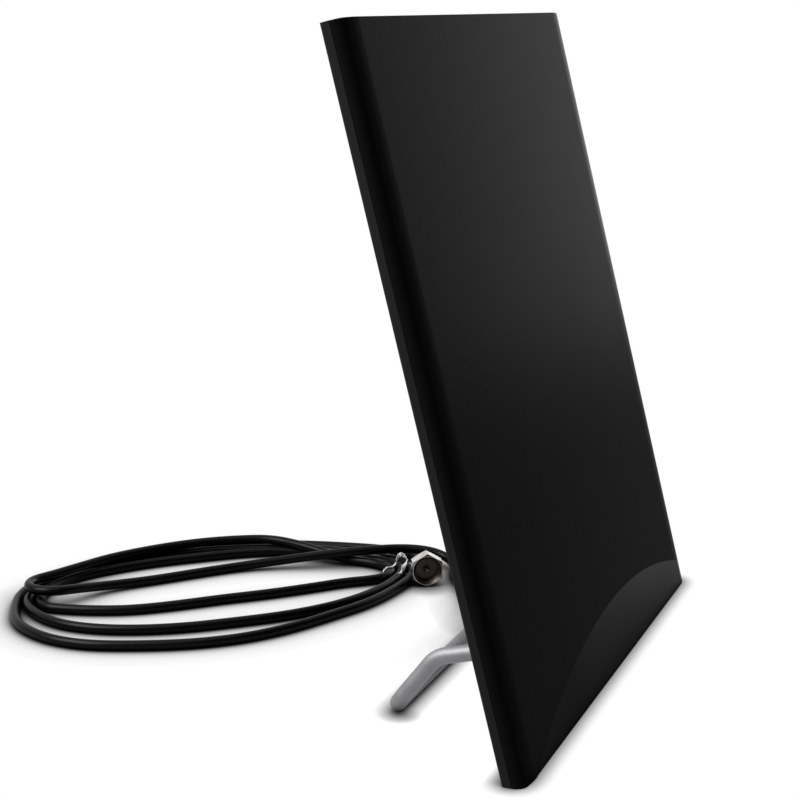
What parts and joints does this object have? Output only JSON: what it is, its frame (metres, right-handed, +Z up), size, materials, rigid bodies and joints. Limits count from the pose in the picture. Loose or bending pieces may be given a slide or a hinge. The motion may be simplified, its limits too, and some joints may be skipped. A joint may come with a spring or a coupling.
{
  "type": "flat indoor tv antenna",
  "caption": "Flat black indoor TV antenna: a leaning panel on a bent wire stand, with a coiled coaxial lead that ends in a screw-on plug with a spinning hexagonal nut.",
  "frame": {"origin": "on the floor, under the middle of the panel and stand's box, without the lead", "axes": "+X to the right seen from the front, +Y backwards from the front face, +Z up"},
  "size_m": [0.1946, 0.2251, 0.2062],
  "materials": {
    "panel_black": "fine moulded texture",
    "screw_black": "blackened",
    "board_green": "coated board",
    "copper": "bare copper",
    "component_grey": "moulded",
    "insulator_white": "plain",
    "insulator_black": "plain",
    "rod_silver": "satin plated",
    "cable_black": "soft jacket",
    "tie_clear": "clear film",
    "plug_nickel": "nickel plated"
  },
  "bodies": {
    "antenna": {"front_cover": "panel_black", "rear_cover": "panel_black", "cover_screws": "screw_black", "antenna_board": "board_green", "copper_left": "copper", "copper_right": "copper", "balun": "component_grey", "coax_tail": "insulator_white", "strain_relief": "cable_black", "stand": "rod_silver", "cable_lead": "cable_black", "cable_coil": "cable_black", "cable_end": "cable_black", "cable_tie": "tie_clear", "plug_body": "plug_nickel", "plug_ferrule": "plug_nickel", "plug_dielectric": "insulator_black", "plug_pin": "copper"},
    "nut": {"plug_nut": "plug_nickel"}
  },
  "joints": [
    {"name": "nut_spin", "type": "hinge", "parent": "antenna", "child": "nut", "pos_m": [0.05236, 0.05599, 0.0064], "axis": [-0.8712, -0.4909, 0], "continuous": true}
  ]
}
